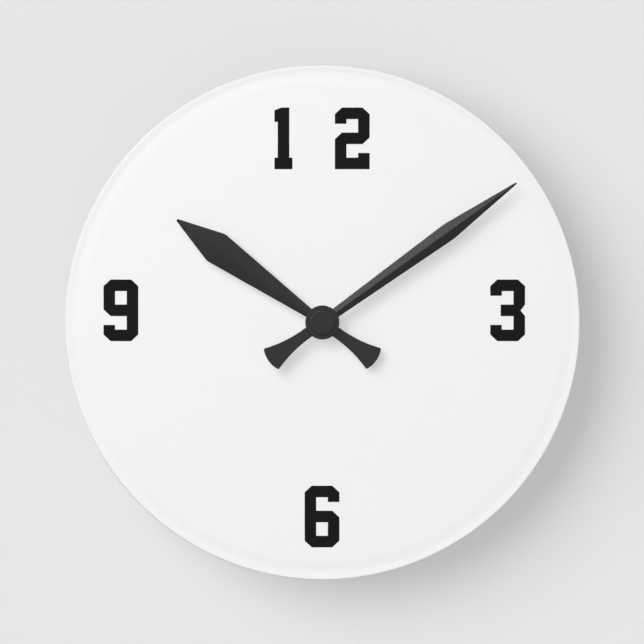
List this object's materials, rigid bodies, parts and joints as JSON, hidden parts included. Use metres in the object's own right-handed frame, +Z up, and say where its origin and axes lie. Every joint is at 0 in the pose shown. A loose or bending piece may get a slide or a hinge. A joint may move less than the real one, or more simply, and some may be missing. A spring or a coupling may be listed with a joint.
{
  "type": "wall clock",
  "caption": "Round white frameless wall clock with block numerals, two flared hands and a battery quartz movement behind the dial.",
  "frame": {"origin": "on the hands' axis at the flat back of the movement, which rests on the wall", "axes": "+Z up towards twelve o'clock, +X to the viewer's right, -Y out of the dial towards the viewer, +Y into the wall"},
  "size_m": [0.2032, 0.032, 0.2032],
  "materials": {
    "dial_acrylic": "smooth white acrylic, softly glossy",
    "ink": "matte black printed ink",
    "hand_plastic": "satin charcoal plastic",
    "case_plastic": "fine-textured black plastic",
    "knob_plastic": "satin dark grey plastic",
    "gear_plastic": "natural acetal",
    "brass": "turned brass",
    "steel": "plain steel",
    "spring_steel": "nickel-plated spring steel",
    "rubber": "black rubber",
    "copper_wire": "enamelled copper wire",
    "board_green": "green solder mask",
    "chip_resin": "black potting resin",
    "magnet": "sintered magnet",
    "battery_sleeve": "printed sleeve, plain, no lettering"
  },
  "bodies": {
    "clock": {"dial": "dial_acrylic", "numeral_12_one": "ink", "numeral_12_two": "ink", "numeral_3": "ink", "numeral_6": "ink", "numeral_9": "ink", "rubber_gasket": "rubber", "dial_washer": "brass", "hex_nut": "brass", "threaded_bushing": "brass", "movement_case": "case_plastic", "rear_cover": "case_plastic", "hanger": "case_plastic", "positive_contact": "spring_steel", "negative_contact": "spring_steel", "negative_spring": "spring_steel", "circuit_board": "board_green", "clock_chip": "chip_resin", "quartz_crystal": "steel", "coil_bobbin": "gear_plastic", "coil_winding": "copper_wire", "coil_core": "steel", "stator": "steel", "stator_screw_left": "steel", "stator_screw_right": "steel", "coil_lead_start": "copper_wire", "coil_lead_finish": "copper_wire", "middle_plate": "gear_plastic", "train_bridge": "gear_plastic"},
    "battery": {"battery_can": "steel", "battery_positive_cap": "steel", "battery_sleeve": "battery_sleeve"},
    "minute": {"minute_hand": "hand_plastic", "hub_cap": "hand_plastic", "minute_arbor": "brass", "centre_wheel": "gear_plastic"},
    "hour": {"hour_hand": "hand_plastic", "hour_wheel": "gear_plastic"},
    "setting": {"minute_wheel": "gear_plastic", "setting_knob": "knob_plastic"},
    "third": {"third_wheel": "gear_plastic"},
    "fourth": {"fourth_wheel": "gear_plastic"},
    "fifth": {"fifth_wheel": "gear_plastic"},
    "rotor": {"rotor_pinion": "gear_plastic", "rotor_magnet": "magnet"}
  },
  "joints": [
    {"name": "battery_slide", "type": "slide", "parent": "clock", "child": "battery", "axis": [0, 1, 0], "range_m": [0, 0.018]},
    {"name": "minute_turn", "type": "hinge", "parent": "clock", "child": "minute", "pos_m": [0, -0.03, 0], "axis": [0, 1, 0], "continuous": true},
    {"name": "hour_turn", "type": "hinge", "parent": "clock", "child": "hour", "pos_m": [0, -0.028, 0], "axis": [0, 1, 0], "continuous": true},
    {"name": "setting_turn", "type": "hinge", "parent": "clock", "child": "setting", "pos_m": [0.01169, -0.002, 0.00675], "axis": [0, 1, 0], "continuous": true},
    {"name": "third_turn", "type": "hinge", "parent": "clock", "child": "third", "pos_m": [-0.01171, -0.009, 0.00323], "axis": [0, 1, 0], "continuous": true},
    {"name": "fourth_turn", "type": "hinge", "parent": "clock", "child": "fourth", "pos_m": [0, -0.007, 0], "axis": [0, 1, 0], "continuous": true},
    {"name": "fifth_turn", "type": "hinge", "parent": "clock", "child": "fifth", "pos_m": [-0.00175, -0.006, 0.00993], "axis": [0, 1, 0], "continuous": true},
    {"name": "rotor_turn", "type": "hinge", "parent": "clock", "child": "rotor", "pos_m": [0.00102, -0.006, 0.01754], "axis": [0, 1, 0], "continuous": true}
  ],
  "couplings": [
    {"joint": "hour_turn", "follows": "minute_turn", "ratio": 0.083333},
    {"joint": "setting_turn", "follows": "minute_turn", "ratio": -0.33333},
    {"joint": "third_turn", "follows": "minute_turn", "ratio": -8},
    {"joint": "fourth_turn", "follows": "minute_turn", "ratio": 60},
    {"joint": "fifth_turn", "follows": "minute_turn", "ratio": -360},
    {"joint": "rotor_turn", "follows": "minute_turn", "ratio": 1800}
  ]
}
